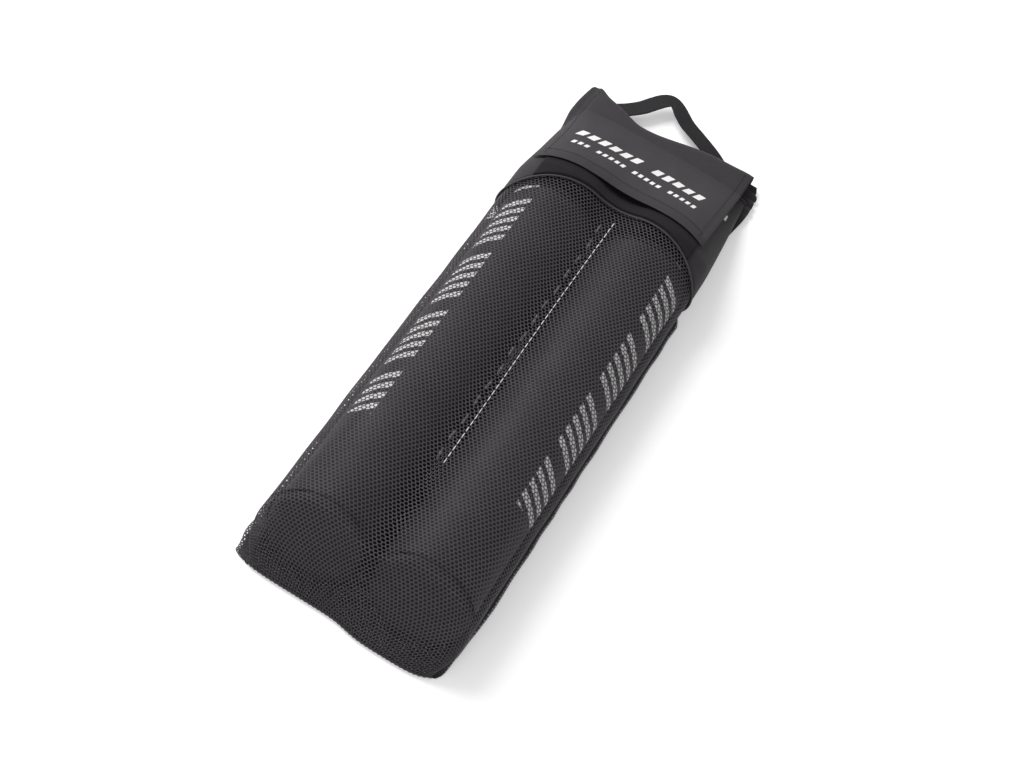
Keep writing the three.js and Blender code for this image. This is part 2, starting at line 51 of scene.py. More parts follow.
# Pads, their slits, piping and printed rows
PAD_LENGTH = 610
PAD_WIDTH = 142
PAD_HEIGHT = 102
PAD_X = 72.5
PAD_Z = 52.5
PAD_TOP = PAD_Z + PAD_HEIGHT / 2
END_SLANT = math.radians(28)
SLIT_HALF = 3.6
SLIT_END = -37
LIP_ROUND = 3
LIP_DEPTH = 5
SWELL_ROOM = 3.0
SWELL_STEPS = 20
VOXEL = 4.5
PIPING_AT = 15.1
PIPING_SINK = 1.6
PIPING_RADIUS = 1.7
PIPING_LIP = 0.12
BINDING_AT = 6.5
BINDING_LIFT = 2.6
PRINT_START = 142
PRINT_END = 603

# Net of the bag
NET_OFFSET = 3.6
NET_PITCH = 6.1
NET_ROW = 4.5
NET_STRAND = 1.6
NET_THICKNESS = 1.1
NET_WAVE = 0.7
BACK_STRAND = 5.3
BACK_THICKNESS = 1.0
BACK_LEVEL = 0.6
BOTTOM_REACH = 72
BOTTOM_WIDTH = 262
BOTTOM_LEVEL = 4.8
BOTTOM_SAG = 8.5
SAG_MIDDLE = 0.1
SAG_SPREAD = 0.15
BOTTOM_ROLL = 1.4
SOLID_ROLL = 1.5
LEFT_CORNER_CUT = 3
RIGHT_CORNER_CUT = 10
SLOPE_EASE = 7
SAG_HALF = 32
SAG_SHARE = 0.14
SEAM_ANGLE = math.radians(-34)
SIDE_FLAT = 0.79
SIDE_RISE = 14
RIM_SEAM = 13
VALLEY_X = 6.6
VALLEY_LIFT = 1.5

# Stitch rows: length, space and width of a stitch
BINDING_STITCH = (18, 13, 3.6)
RIM_STITCH = (3.6, 1.2, 1.5)
VALLEY_STITCH = (8.5, 2.5, 1.4)
FLAP_STITCH = (3.2, 1.3, 0.9)

# Header, flap and tapes
CLOTH = 1.0
HEADER_OFFSET = 6.4
HEADER_START = 623.16
HEADER_LENGTH = 190
HEADER_FALL = 1.15
HEADER_WAVE = 0.8
HEM_Y = 620
HEM_BOW_LEFT = 55
HEM_BOW_RIGHT = 45
HEM_SPREAD = 0.64
HEM_ROLL = 1.4
HEM_LIFT = 1.1
MOUTH_Y = HEADER_START + HEADER_LENGTH
MOUTH_WIDTH = 272
MOUTH_SIDE = 10
MOUTH_RISE = 13
MOUTH_POWER = 2.6
MOUTH_BACK = 7
MOUTH_ROLL = 2.6
MOUTH_ROLL_AT = (0, 2.9, 0.6)
FOLD_Y = 827.36
FOLD_SET = 5
FOLD_REACH = 24
FOLD_DIP_AT = -46
FOLD_DIP_LEFT = 46
FOLD_DIP_RIGHT = 79
FLAP_WIDTH = 266
FLAP_SHIFT = -6
FLAP_LENGTH = 180
FLAP_END_BOW = 10
FLAP_LIFT = 9.3
FLAP_HEM = 20
FLAP_SINK = 2.6
FLAP_SINK_AT = 24
FLAP_SINK_OVER = 22
FLAP_HEM_STEP = 0.5
FLAP_HEM_ROUND = 1.5
FLAP_WAVE = 1.0
FLAP_RIPPLE = 0.6
BRIDGE = 58
BRIDGE_SHARE = 0.55
CORNER_BULGE = 12
BULGE_AT = 0.56
BULGE_SPREAD = 0.15
BACK_PART = 0.25
FOLD_PART = 0.2
TURN_END = BACK_PART + FOLD_PART
TAPE_LENGTH = 240
TAPE_THICKNESS = 1.5
LOOP_START = HEADER_START + 1
LOOP_END = LOOP_START + 60
LOOP_LIFT = 1.8
HOOK_DEPTH = 25
HOOK_LIFT = 3.75

# Side seams, tag, gusset and handle
SEAM_LOW = 2.9
SEAM_HIGH = 19
SEAM_DELAY = 13
FLANGE_HALF = 6
FLANGE_OUT = 5.5
FLANGE_IN = 2.5
STRIP_START = 7
STRIP_THICKNESS = 1.2
LACE_LAP = 0.5
LACE_CUT = 6.2
LACE_STRAND = 2.6
TAG_Y = 738
TAG_LENGTH = 13
TAG_WIDTH = 12
TAG_THICKNESS = 0.8
TAG_AT = 0.786
TAG_SHARE = 0.022
GUSSET_START = 735
GUSSET_LENGTH = 120
GUSSET_WIDTH = 36
GUSSET_INNER = 112
GUSSET_EDGE = 140.5
GUSSET_LEVEL = 11
PLEAT = 14.5
PLEAT_HEIGHT = 3.2
WEBBING = 25
WEBBING_THICKNESS = 2.0

# Light, and the camera at the photograph's angle; its focal length is in pixels of the frame
WORLD_LIGHT = 0.42
FLOOR_GLOW = 0.3
FLOOR_HALF = 6
CAMERA_AIM = (14.3, 318.8, 50)
CAMERA_RISE = math.radians(56)
CAMERA_TURN = math.radians(12.4)
CAMERA_ROLL = math.radians(20.2)
CAMERA_DISTANCE = 2.49
FOCAL_PIXELS = 1925
FRAME_PIXELS = 1024
SENSOR = 36

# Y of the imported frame's origin, from a node whose place is known
shift_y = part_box("bag_bottom_fold")[0].y * 1000 + BOTTOM_REACH + SOLID_ROLL


def to_frame(points):
    """Millimetres in the drawing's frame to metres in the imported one."""
    return (np.asarray(points, float) + [0, shift_y, 0]) / 1000


def spots(x, y, z):
    """Places from their three coordinates, each an array or one number."""
    return np.stack(np.broadcast_arrays(x, y, z), axis=-1)


def ramp(distance, length):
    """0 before its start and 1 from its length on, with a straight line between."""
    return np.clip(distance / length, 0, 1)


def bell(x, at, width):
    """Bell curve: 1 at one place, and e to the power of minus the square of the distance over its
    width elsewhere."""
    return np.exp(-((x - at) / width) ** 2)


# Materials: what they share


def linear(code):
    """An sRGB hex colour as a linear one."""
    c = np.array([int(code[i:i + 2], 16) for i in (1, 3, 5)]) / 255
    return (*np.where(c <= 0.04045, c / 12.92, ((c + 0.055) / 1.055) ** 2.4), 1.0)


def add(tree, kind, inputs=(), **settings):
    """The outputs of a new node with its settings. Its inputs, each a value or another node's
    output, are a list in the node's own order or a dictionary by name or number."""
    made = tree.nodes.new("ShaderNode" + kind)
    for name, value in settings.items():
        setattr(made, name, value)
    for name, value in inputs.items() if isinstance(inputs, dict) else enumerate(inputs):
        if isinstance(value, bpy.types.NodeSocket):
            tree.links.new(value, made.inputs[name])
        else:
            made.inputs[name].default_value = value
    return made.outputs


def finish_shader(name, roughness, sheen=0.0, specular=0.25):
    """A new material and its node tree, with the places on the piece and in its UV map. Dark yarns
    shine less than a solid of the same plastic, so their specular level is low."""
    made = bpy.data.materials.new(name)
    made.use_nodes = True
    tree = made.node_tree
    shader = tree.nodes["Principled BSDF"]
    shader.inputs["Roughness"].default_value = roughness
    shader.inputs["Sheen Weight"].default_value = sheen
    shader.inputs["Sheen Roughness"].default_value = 0.4
    shader.inputs["Specular IOR Level"].default_value = specular
    place = add(tree, "TexCoord")
    return made, tree, place["Object"], place["UV"]


def paint(made, base, layers, reliefs):
    """The material's colour: a base and the layers over it, each with the share that it covers. Its
    bump: reliefs on each other, each with its height, strength and depth in millimetres."""
    tree = made.node_tree
    shader = tree.nodes["Principled BSDF"]
    colour = linear(base)
    for share, code in layers:
        colour = add(tree, "Mix", {0: share, 6: colour, 7: linear(code)}, data_type="RGBA")[2]
    tree.links.new(colour, shader.inputs["Base Color"])
    below = {}
    for height, strength, depth in reliefs:
        relief = {"Height": height, "Strength": strength, "Distance": depth / 1000}
        below = {"Normal": add(tree, "Bump", relief | below)[0]}
    tree.links.new(below["Normal"], shader.inputs["Normal"])
    return made


def shaded(tree, height):
    """A height from -1 to 1 as a share from 0 to 1, with which a colour is painted lighter on a relief's
    crests and darker in its hollows: painted highlight and shade.
    """
    return add(tree, "Math", [height, 0.5, 0.5], operation="MULTIPLY_ADD")[0]


def weave_height(tree, across, along, pitch):
    """Plain weave: the product of two sines crosses over and under in a chequer."""
    waves = []
    for place in (across, along):
        turn = add(tree, "Math", [place, math.pi / (pitch / 1000)], operation="MULTIPLY")[0]
        waves.append(add(tree, "Math", [turn], operation="SINE")[0])
    return add(tree, "Math", waves, operation="MULTIPLY")[0]


# A printed row: its ends, its two edges, the bars' pitch, the share of the pitch that a bar fills,
# its slant, and the count of pitches in a group
PrintRow = namedtuple("PrintRow", "start end low high pitch share slant group")


def bars(tree, along, across, row):
    """Slanted bars in a row, with a gap in place of each group's last bar: 1 on a bar, 0 elsewhere.
    The place along leans with the place across and is counted in pitches; a bar is where what is
    left after the whole ones is below its share."""
    leaning = add(tree, "Math", [across, row.slant, along], operation="MULTIPLY_ADD")[0]
    mask = 1.0
    for pitch, share in ((row.pitch, row.share), (row.pitch * row.group, 1 - 1 / row.group)):
        count = add(tree, "Math", [leaning, pitch / 1000], operation="DIVIDE")[0]
        beat = add(tree, "Math", [count], operation="FRACT")[0]
        inside = add(tree, "Math", [beat, share], operation="LESS_THAN")[0]
        mask = add(tree, "Math", [mask, inside], operation="MULTIPLY")[0]
    for value, edge, side in (
        (along, row.start, "GREATER_THAN"), (along, row.end, "LESS_THAN"),
        (across, row.low, "GREATER_THAN"), (across, row.high, "LESS_THAN"),
    ):
        inside = add(tree, "Math", [value, edge / 1000], operation=side)[0]
        mask = add(tree, "Math", [mask, inside], operation="MULTIPLY")[0]
    return mask


# Materials: one function for each real one, where a noise's scale is 1000 over its size in mm


def pad_cover(name, row):
    """Coated polyester, closely woven: a dark satin with a faint chequer, and a row of bars printed
    in matt white along its top. Threads of 0.5 mm are drawn at 1.4 mm, so that they show."""
    made, tree, spot, _ = finish_shader(name, 0.5, sheen=0.05)
    x, y, z = add(tree, "SeparateXYZ", [spot])
    top = add(tree, "Math", [z, PAD_Z / 1000], operation="GREATER_THAN")[0]
    print_mask = add(tree, "Math", [bars(tree, y, x, row), top], operation="MULTIPLY")[0]
    patches = add(tree, "TexNoise", {"Vector": spot, "Scale": 1000 / 60, "Detail": 3})[0]
    folds = add(tree, "TexNoise", {"Vector": spot, "Scale": 1000 / 24, "Detail": 2})[0]
    reliefs = [(weave_height(tree, x, y, 1.4), 0.35, 0.2), (folds, 0.25, 2.0)]
    return paint(made, "#252326", [(patches, "#343136"), (print_mask, "#f8f8f8")], reliefs)


def knitted_net(name, dark, light):
    """Warp-knitted polyester net: smooth filament yarn with a soft half gloss along each strand."""
    made, tree, spot, _ = finish_shader(name, 0.46, sheen=0.06)
    patches = add(tree, "TexNoise", {"Vector": spot, "Scale": 1000 / 40, "Detail": 3})[0]
    yarn = add(tree, "TexNoise", {"Vector": spot, "Scale": 1000 / 0.9, "Detail": 1})[0]
    return paint(made, dark, [(patches, light)], [(yarn, 0.5, 0.15)])


def plain_woven(name, dark, light, weave_shade, prints=()):
    """Plain-woven polyester: matt charcoal with a fine chequer of threads, whose low places are painted
    darker as shade. Threads of 0.6 mm are drawn at 1.5 mm, so that they show. Prints are rows of pale bars."""
    made, tree, spot, cloth = finish_shader(name, 0.78, sheen=0.05)
    across, along, _ = add(tree, "SeparateXYZ", [cloth])
    patches = add(tree, "TexNoise", {"Vector": spot, "Scale": 1000 / 35, "Detail": 3})[0]
    soft = add(tree, "TexNoise", {"Vector": spot, "Scale": 1000 / 14, "Detail": 2})[0]
    height = weave_height(tree, across, along, 1.5)
    # The weave's low places take the third colour: painted shade
    layers = [(patches, light), (shaded(tree, height), weave_shade)]
    layers += [(bars(tree, across, along, row), "#f0f0ef") for row in prints]
    return paint(made, dark, layers, [(height, 0.6, 0.25), (soft, 0.2, 1.5)])


def ribbed_tape(name, dark, light, pitch, roughness):
    """Woven tape: ribs along its length, each a row of short slanting floats with a half gloss. Its colour
    is painted lighter on the floats' crests, as highlight, and darker in the hollows, as shade.
    """
    made, tree, _, cloth = finish_shader(name, roughness, sheen=0.05)
    across, along, _ = add(tree, "SeparateXYZ", [cloth])
    leaning = add(tree, "Math", [across, 0.9, along], operation="MULTIPLY_ADD")[0]
    height = weave_height(tree, across, leaning, pitch)
    # The light colour on the crests is painted highlight, and the dark one in the hollows painted shade
    return paint(made, dark, [(shaded(tree, height), light)], [(height, 0.7, 0.35)])


def brushed_loop():
    """Brushed nylon loop: a deep black fuzz that swallows light."""
    made, tree, spot, _ = finish_shader("brushed_nylon_loop", 0.95, sheen=0.04, specular=0.1)
    fuzz = add(tree, "TexNoise", {"Vector": spot, "Scale": 1000 / 1.6, "Detail": 4})[0]
    return paint(made, "#1b191c", [(fuzz, "#312e32")], [(fuzz, 1.0, 0.9)])


def moulded_hook():
    """Moulded nylon hook tape: rows of tiny pins 1.4 mm apart, seen as dots: each pin is painted lighter at
    its middle, as a highlight, and darker round it, as shade.
    """
    made, tree, spot, _ = finish_shader("moulded_nylon_hook", 0.42)
    pins = add(tree, "TexVoronoi", {"Vector": spot, "Scale": 1000 / 1.43})["Distance"]
    # Lighter pin middles are painted highlight, darker ground between the pins painted shade
    return paint(made, "#2b2b2d", [(pins, "#131314")], [(pins, 0.8, 0.6)])


def spun_thread(name, dark, light):
    """Bonded polyester thread: two plies twisted, with a soft gloss."""
    made, tree, spot, _ = finish_shader(name, 0.4, specular=0.4)
    twist = add(tree, "TexNoise", {"Vector": spot, "Scale": 1000 / 0.7, "Detail": 1})[0]
    return paint(made, dark, [(twist, light)], [(twist, 0.4, 0.1)])


def satin_tag():
    """Woven satin tag, left bare: smooth off-white with very fine ribs, 0.9 mm apart, painted lighter on
    their crests as highlight and darker between as shade.
    """
    made, tree, _, cloth = finish_shader("satin_tag_cloth", 0.5, specular=0.4)
    _, along, _ = add(tree, "SeparateXYZ", [cloth])
    turn = add(tree, "Math", [along, 2 * math.pi / 0.0009], operation="MULTIPLY")[0]
    ribs = add(tree, "Math", [turn], operation="SINE")[0]
    # The paler colour on the rib crests is painted highlight, the darker one between them painted shade
    return paint(made, "#d6d5d2", [(shaded(tree, ribs), "#f1f0ed")], [(ribs, 0.3, 0.1)])


# Meshes: cloth, swept profiles and stitches


def placed(name, data):
    """A new object in the scene."""
    made = bpy.data.objects.new(name, data)
    bpy.context.scene.collection.objects.link(made)
    return made


def quad_mesh(name, points, quads, uv=None):
    """An object of four-sided faces, from points in millimetres and their order in each face."""
    mesh = bpy.data.meshes.new(name)
    mesh.from_pydata(to_frame(points).tolist(), [], np.asarray(quads).tolist())
    if uv is not None:
        layer = mesh.uv_layers.new(name="cloth")
        layer.data.foreach_set("uv", np.asarray(uv, np.float32)[np.asarray(quads).ravel()].ravel())
    mesh.polygons.foreach_set("use_smooth", np.full(len(mesh.polygons), True))
    mesh.update()
    return placed(name, mesh)


def dress(piece, material, slot, *nodes):
    """The piece's finish, its parent under the root, and the CAD nodes that it stands for, which are
    hidden. The slot is not used.
    """
    piece.data.materials.clear()
    piece.data.materials.append(material)
    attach(piece, "root")
    if nodes:
        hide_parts(*nodes)


def raised(surface, u, v, height):
    """Points of a surface of two parameters, moved along its normal, which is the cross product of
    its two directions."""
    step = 1e-3
    u0, u1 = np.maximum(u - step, 0), np.minimum(u + step, 1)
    v0, v1 = np.maximum(v - step, 0), np.minimum(v + step, 1)
    normal = np.cross(surface(u1, v) - surface(u0, v), surface(u, v1) - surface(u, v0))
    normal /= np.maximum(np.linalg.norm(normal, axis=-1, keepdims=True), 1e-9)
    return surface(u, v) + normal * height


def grid_quads(rows, columns, around=False):
    """Faces of a grid of points, row by row; around closes the columns to a ring."""
    i, j = np.meshgrid(np.arange(rows - 1), np.arange(columns - (not around)), indexing="ij")
    k = (j + 1) % columns
    corners = [i * columns + j, (i + 1) * columns + j, (i + 1) * columns + k, i * columns + k]
    return np.stack(corners, axis=-1).reshape(-1, 4)


def cloth_shell(name, surface, grid, thickness, width, from_end=False):
    """Closed cloth on a surface of two parameters, with a grid of faces across and along: its under
    face, its upper face one thickness higher along the normal, and a rim round both. Its UV map is
    in metres: the share of its flat width across, and the real length along it, counted from its
    start or its end."""
    across, along = grid
    u, v = np.meshgrid(np.linspace(0, 1, across + 1), np.linspace(0, 1, along + 1), indexing="ij")
    under = surface(u, v)
    upper = raised(surface, u, v, thickness).reshape(-1, 3)
    travel = np.cumsum(np.linalg.norm(np.diff(under, axis=1, prepend=under[:, :1]), axis=-1), axis=1)
    if from_end:
        travel = travel[:, -1:] - travel
    under = under.reshape(-1, 3)
    count = len(under)
    face = grid_quads(across + 1, along + 1)
    ids = np.arange(count).reshape(across + 1, along + 1)
    rim = np.concatenate([ids[:-1, 0], ids[-1, :-1], ids[:0:-1, -1], ids[0, :0:-1]])
    after = np.roll(rim, -1)
    wall = np.stack([rim, after, after + count, rim + count], axis=-1)
    quads = np.concatenate([face + count, face[:, ::-1], wall])
    flat = np.stack([u * width, travel], axis=-1).reshape(-1, 2) / 1000
    return quad_mesh(name, np.concatenate([under, upper]), quads, np.concatenate([flat, flat]))


def tidy(piece):
    """Merges points that lie in one place, drops faces without area, closes open ends and turns all
    faces outwards."""
    shape = bmesh.new()
    shape.from_mesh(piece.data)
    bmesh.ops.remove_doubles(shape, verts=shape.verts, dist=1e-6)
    bmesh.ops.dissolve_degenerate(shape, edges=shape.edges, dist=1e-7)
    bmesh.ops.holes_fill(shape, edges=[e for e in shape.edges if e.is_boundary])
    bmesh.ops.recalc_face_normals(shape, faces=shape.faces)
    shape.to_mesh(piece.data)
    shape.free()
    return piece


def way_along(path):
    """Distance travelled to each point of a path."""
    steps = np.linalg.norm(np.diff(path, axis=0), axis=1)
    return np.concatenate([[0], np.cumsum(steps)])


def at_shares(share, known, path):
    """Points of a path between its own ones, by their shares of the way or by distance."""
    return np.stack([np.interp(share, known, path[:, i]) for i in range(path.shape[1])], axis=-1)


def rings_round(path, tangent, profile, size):
    """A closed profile, in millimetres across and up, at each point of a path and at its own size.
    What is across it is as level as it can be."""
    tangent = tangent / np.linalg.norm(tangent, axis=-1, keepdims=True)
    side = np.cross(tangent, [0, 0, 1.0])
    side /= np.maximum(np.linalg.norm(side, axis=-1, keepdims=True), 1e-9)
    side, up = side[..., None, :], np.cross(side, tangent)[..., None, :]
    return path[..., None, :] + side * profile[:, :1] * size + up * profile[:, 1:] * size


def swept(name, path, profile, scale=1.0):
    """A closed profile carried along a path; both ends are drawn together to a point. scale shrinks
    or swells it along the way."""
    size = np.broadcast_to(scale, len(path))[:, None, None]
    rings = rings_round(path, np.gradient(path, axis=0), profile, size)
    tip = np.ones((1, len(profile), 1))
    rings = np.concatenate([tip * path[0], rings, tip * path[-1]])
    rows, columns = rings.shape[:2]
    around = np.linspace(0, 1, columns, endpoint=False) * np.ptp(profile[:, 0]) * 2
    uv = np.stack(np.broadcast_arrays(around[None], way_along(rings[:, 0])[:, None]), axis=-1)
    quads = grid_quads(rows, columns, around=True)
    return tidy(quad_mesh(name, rings.reshape(-1, 3), quads, uv.reshape(-1, 2) / 1000))


def circle(radius, sides, squash=1.0):
    """Points of an ellipse, anticlockwise."""
    turn = np.linspace(0, 2 * math.pi, sides, endpoint=False)
    return np.stack([radius * np.cos(turn), radius * squash * np.sin(turn)], axis=-1)


def spline(knots, count):
    """Catmull-Rom curve through a few points, spaced evenly in length."""
    k = np.asarray(knots, float)
    k = np.concatenate([2 * k[:1] - k[1:2], k, 2 * k[-1:] - k[-2:-1]])
    s = np.linspace(0, len(k) - 3, 40 * (len(k) - 3), endpoint=False)
    i = s.astype(int)
    f = (s - i)[:, None]
    a, b, c, d = k[i], k[i + 1], k[i + 2], k[i + 3]
    p = 0.5 * (2 * b + (c - a) * f + (2 * a - 5 * b + 4 * c - d) * f**2
               + (3 * b - a - 3 * c + d) * f**3)
    p = np.concatenate([p, k[-2:-1]])
    way = way_along(p)
    return at_shares(np.linspace(0, way[-1], count), way, p)


def stitches(name, path, length, space, width):
    """A row of stitches: beads of a length and a width, with drawn-in ends and a space between
    them, one after another along a path."""
    way = way_along(path)
    starts = np.arange(0, way[-1] - length, length + space)
    share = np.array([0, 0.12, 0.5, 0.88, 1])
    swelling = np.array([0.35, 0.85, 1, 0.85, 0.35])[:, None, None]
    centre = at_shares(starts[:, None] + share * length, way, path)
    points = rings_round(centre, centre[:, -1:] - centre[:, :1], circle(width / 2, 6), swelling)
    count, rows, columns = points.shape[:3]
    ends = np.array([[0, 1, 2, 3], [0, 3, 4, 5]])
    caps = np.concatenate([ends, ends[:, ::-1] + (rows - 1) * columns])
    one = np.concatenate([grid_quads(rows, columns, around=True), caps])
    quads = one[None] + np.arange(count)[:, None, None] * rows * columns
    return tidy(quad_mesh(name, points.reshape(-1, 3), quads.reshape(-1, 4)))


# Sections of the bag over both pads


def half_axes(offset):
    """Half the width and half the height of the ellipse that lies an offset outside a pad."""
    return PAD_WIDTH / 2 + offset, PAD_HEIGHT / 2 + offset


def over_pads(x, offset):
    """Height of a cloth over both pads: an ellipse over each, and a parabola that sags between."""
    a, b = half_axes(offset)
    away = np.abs(x)
    ellipse = PAD_Z + b * np.sqrt(np.maximum(1 - ((away - PAD_X) / a) ** 2, 0))
    reach = (PAD_X - SAG_HALF) / a
    rise = math.sqrt(1 - reach**2)
    slope = b / a * reach / rise
    low = PAD_Z + b * rise - slope * SAG_HALF / 2 * (1 - (away / SAG_HALF) ** 2)
    return np.where(away >= SAG_HALF, ellipse, low)


def cloth_section(offset):
    """Section round both pads from the left seam to the right one, as X and Z at shares of t."""
    a, b = half_axes(offset)
    inner = math.pi - math.acos((PAD_X - SAG_HALF) / a)

    def at(t):
        """The sag's parabola near the middle, and from there an angle round the pad."""
        side = np.where(t < 0.5, -1, 1)
        s = np.abs(2 * t - 1)
        angle = inner + (SEAM_ANGLE - inner) * (s - SAG_SHARE) / (1 - SAG_SHARE)
        low = SAG_HALF * s / SAG_SHARE
        x = np.where(s < SAG_SHARE, low, PAD_X + a * np.cos(angle))
        z = np.where(s < SAG_SHARE, over_pads(low, offset), PAD_Z + b * np.sin(angle))
        return side * x, z

    return at


def by_length(curve):
    """The same curve against its own arc length, and that length."""
    t = np.linspace(0, 1, 4001)
    path = np.stack(curve(t), axis=-1)
    way = way_along(path)
    share = way / way[-1]
    return lambda s: (np.interp(s, share, path[:, 0]), np.interp(s, share, path[:, 1])), way[-1]


net_section, net_width = by_length(cloth_section(NET_OFFSET))
header_section = cloth_section(HEADER_OFFSET)
header_arc = by_length(header_section)[1]
seam_x, seam_z = (float(c) for c in net_section(1.0))
wrap_half = PAD_X + PAD_WIDTH / 2 + HEADER_OFFSET
slope_length = math.hypot(BOTTOM_REACH, PAD_TOP)
net_length = slope_length + HEADER_START + 2

# Surfaces of the net


def bottom_reach(across):
    """How far the bottom edge lies past the pads: it sags on the right, with a soft step near the
    middle, and the ninth power of the share across cuts its corners."""
    sag = BOTTOM_SAG * (0.5 + 0.5 * np.tanh((across - SAG_MIDDLE) / SAG_SPREAD))
    cut = np.where(across < 0, LEFT_CORNER_CUT, RIGHT_CORNER_CUT) * np.abs(across) ** 9
    return BOTTOM_REACH + sag - cut


def near_rim(across, z):
    """How far the slanted rim of the pads' ends lies past their top at a height, and the share of
    the slope that is spent on the way to it."""
    rim = (PAD_TOP - z) * math.tan(END_SLANT) + SLOPE_EASE
    return rim, rim / (rim + np.hypot(bottom_reach(across) - rim, z - BOTTOM_LEVEL))


def near_slope(y0, across, z):
    """Place along Y and the share of height left: straight on to the slanted rim of the pads' ends,
    then down to the bottom edge."""
    rim, straight = near_rim(across, z)
    t = np.maximum(-y0 / slope_length, 0)
    fallen = ramp(t - straight, 1 - straight)
    y = np.where(t < straight, -rim * t / straight, -(rim + (bottom_reach(across) - rim) * fallen))
    return np.where(y0 >= 0, y0, y), 1 - fallen


def flattened(x, across, share):
    """The cloth draws out to an even width along the bottom."""
    return x + (across * BOTTOM_WIDTH / 2 - x) * (1 - share) ** 2


def side_rise(across):
    """The back lies flat and turns up to the seams near its sides, as a parabola."""
    return SIDE_RISE * np.maximum((np.abs(across) - SIDE_FLAT) / (1 - SIDE_FLAT), 0) ** 2


def net_front(u, v):
    """Front of the net: arc length across, distance from the bottom edge along. Two sines wave
    it in and out over the pads."""
    across = 2 * u - 1
    x, z = net_section(u)
    y, share = near_slope(v * net_length - slope_length, across, z)
    wave = NET_WAVE * np.sin(19 * u + 2 * np.sin(9 * v)) * np.sin(31 * v + 3 * np.sin(5 * u)) * share
    out = np.stack([x - np.sign(across) * PAD_X, z - PAD_Z], axis=-1)
    out *= (wave / np.maximum(np.linalg.norm(out, axis=-1), 1))[..., None]
    x = flattened(x, across, share) + out[..., 0]
    return spots(x, y, BOTTOM_LEVEL + (z - BOTTOM_LEVEL) * share + out[..., 1])


def net_back(u, v):
    """Back of the net: flat on the floor, turned up to the seams at its sides."""
    across = 2 * u - 1
    y0 = -slope_length + v * (slope_length + HEADER_START)
    y, share = near_slope(y0, across, seam_z)
    x = flattened(across * seam_x, across, share)
    return spots(x, y, BACK_LEVEL + share * side_rise(across))


def honeycomb(name, surface, width, length, rows_at=(0, 1), thickness=NET_THICKNESS, strand=NET_STRAND):
    """Net of six-sided cells standing on their tips, every other row set off by half a pitch. Each
    cell is a ring: its rim is the ridge of the strands, above and below, and its opening's edge
    lies at half the thickness. rows_at gives the stretch of rows in shares of the length."""
    columns = round(width / NET_PITCH - 0.5)
    pitch = width / (columns + 0.5)
    rows = round(length / NET_ROW - 1 / 3)
    step = length / (rows + 1 / 3) / 3
    first, last = round(rows_at[0] * rows), round(rows_at[1] * rows)
    row, column = np.meshgrid(np.arange(first, last), np.arange(columns + 1), indexing="ij")
    row, column = row.ravel(), column.ravel()
    middle = np.stack([2 * column + 1 - row % 2, 3 * row + 2], axis=-1)
    corner = np.array([[1, 1], [0, 2], [-1, 1], [-1, -1], [0, -2], [1, -1]])
    rim = middle[:, None] + corner
    places, rim_ids = np.unique(rim.reshape(-1, 2), axis=0, return_inverse=True)
    rim_ids = rim_ids.reshape(-1, 6)
    opening = middle[:, None] + corner * (1 - strand / pitch)
    half = thickness / 2

    def put(flat, height):
        """Places of the flat net on the surface, a height above the middle of the yarn."""
        flat = flat.reshape(-1, 2) * [pitch / 2, step]
        u = np.clip(flat[:, 0] / width, 0, 1)
        v = np.clip(flat[:, 1] / length, 0, 1)
        return raised(surface, u, v, half + height), flat

    top, flat_top = put(places, half)
    low, flat_low = put(places, -half)
    edge, flat_edge = put(opening, 0)
    count = len(places)
    inner = np.arange(len(edge)).reshape(-1, 6) + 2 * count
    after, inner_after = np.roll(rim_ids, -1, axis=1), np.roll(inner, -1, axis=1)
    upper = np.stack([rim_ids, after, inner_after, inner], axis=-1).reshape(-1, 4)
    lower = np.stack([inner, inner_after, after + count, rim_ids + count], axis=-1).reshape(-1, 4)
    sides = np.stack([rim_ids, after], axis=-1).reshape(-1, 2)
    _, index, uses = np.unique(np.sort(sides, axis=1), axis=0, return_index=True, return_counts=True)
    free = sides[index[uses == 1]]
    wall = np.stack([free[:, 1], free[:, 0], free[:, 0] + count, free[:, 1] + count], axis=-1)
    flat = np.concatenate([flat_top, flat_low, flat_edge]) / 1000
    return quad_mesh(name, np.concatenate([top, low, edge]), np.concatenate([upper, lower, wall]), flat)


# Surfaces of the header and its flap


def mouth_arch(x):
    """Height of the mouth's front lip: a low arch that falls to its two corners."""
    across = np.minimum(np.abs(x) / wrap_half, 1)
    return MOUTH_SIDE + MOUTH_RISE * (1 - across**MOUTH_POWER) ** (1 / MOUTH_POWER)


def mouth_height(x, z):
    """Height at the mouth of what lies at a height over the pads: the arch, and below the pads'
    middle a straight fall to the back."""
    edge_z = float(header_section(np.array(1.0))[1])
    side = MOUTH_BACK + (MOUTH_SIDE - MOUTH_BACK) * (z - edge_z) / (PAD_Z - edge_z)
    return np.where(z < PAD_Z, side, mouth_arch(x))


def hem_bow(across):
    """How far the hem hangs back towards the pads' near ends: nothing in the middle, and level
    again near the sides, less at the right."""
    bow = np.where(across < 0, HEM_BOW_LEFT, HEM_BOW_RIGHT)
    return bow * np.tanh((np.abs(across) / HEM_SPREAD) ** 3)


def header_blend(y):
    """Share of the way down from the pads' height to the mouth."""
    return ramp(y - HEADER_START, HEADER_LENGTH) ** HEADER_FALL


def narrowed(blend):
    """Share of the full width that is left on the way to the mouth."""
    return 1 + (MOUTH_WIDTH / 2 / wrap_half - 1) * blend


def header_point(t, y):
    """The header's section at a distance along it: from the one over the pads to the low mouth."""
    x, z = header_section(t)
    blend = header_blend(y)
    height = z + (mouth_height(x, z) - z) * blend
    return spots(x * narrowed(blend), y, height)


def header_front(t, f):
    """Front of the header, from its hem to its mouth, with shallow waves that die out at the hem."""
    start = HEADER_START - hem_bow(2 * t - 1)
    point = header_point(t, start + (MOUTH_Y - start) * f)
    point[..., 2] += HEADER_WAVE * np.sin(26 * t + 4 * f) * np.sin(math.pi * f) ** 2
    return point


